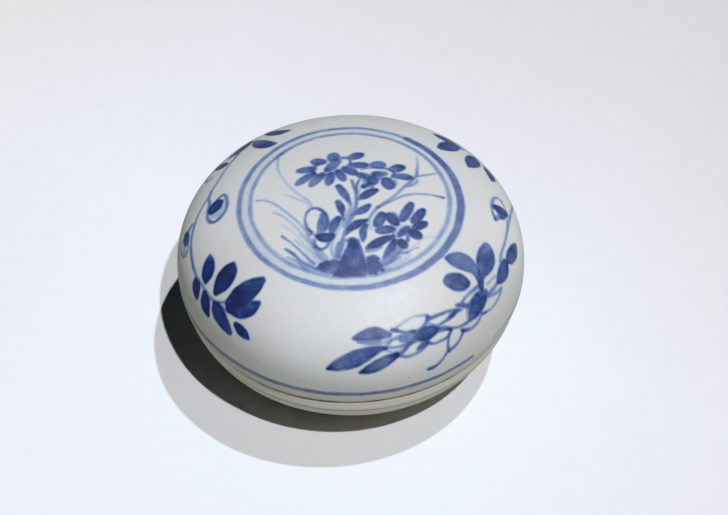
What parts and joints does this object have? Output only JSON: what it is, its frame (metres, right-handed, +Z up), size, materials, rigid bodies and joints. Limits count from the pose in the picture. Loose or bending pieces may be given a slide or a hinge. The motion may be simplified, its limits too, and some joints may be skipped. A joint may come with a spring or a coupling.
{
  "type": "porcelain trinket box",
  "caption": "Small round porcelain trinket box with a low footed base, a locating flange and a domed lid that lifts off.",
  "frame": {"origin": "centre of the foot ring's bearing face, on the table", "axes": "+Z up along the box's axis of revolution, the way the lid lifts; the box is round, so +X and +Y are any two level directions and the painted front faces -Y"},
  "size_m": [0.08, 0.08, 0.0463],
  "materials": {
    "plain_porcelain": "off-white glaze, satin; bare fired clay on the ledge and the foot ring",
    "painted_porcelain": "off-white glaze over cobalt brush painting, satin with fine specks"
  },
  "bodies": {
    "base": {"base": "plain_porcelain"},
    "lid": {"lid": "painted_porcelain"}
  },
  "joints": [
    {"name": "lid_lift", "type": "slide", "parent": "base", "child": "lid", "axis": [0, 0, 1], "range_m": [0, 0.06]}
  ]
}
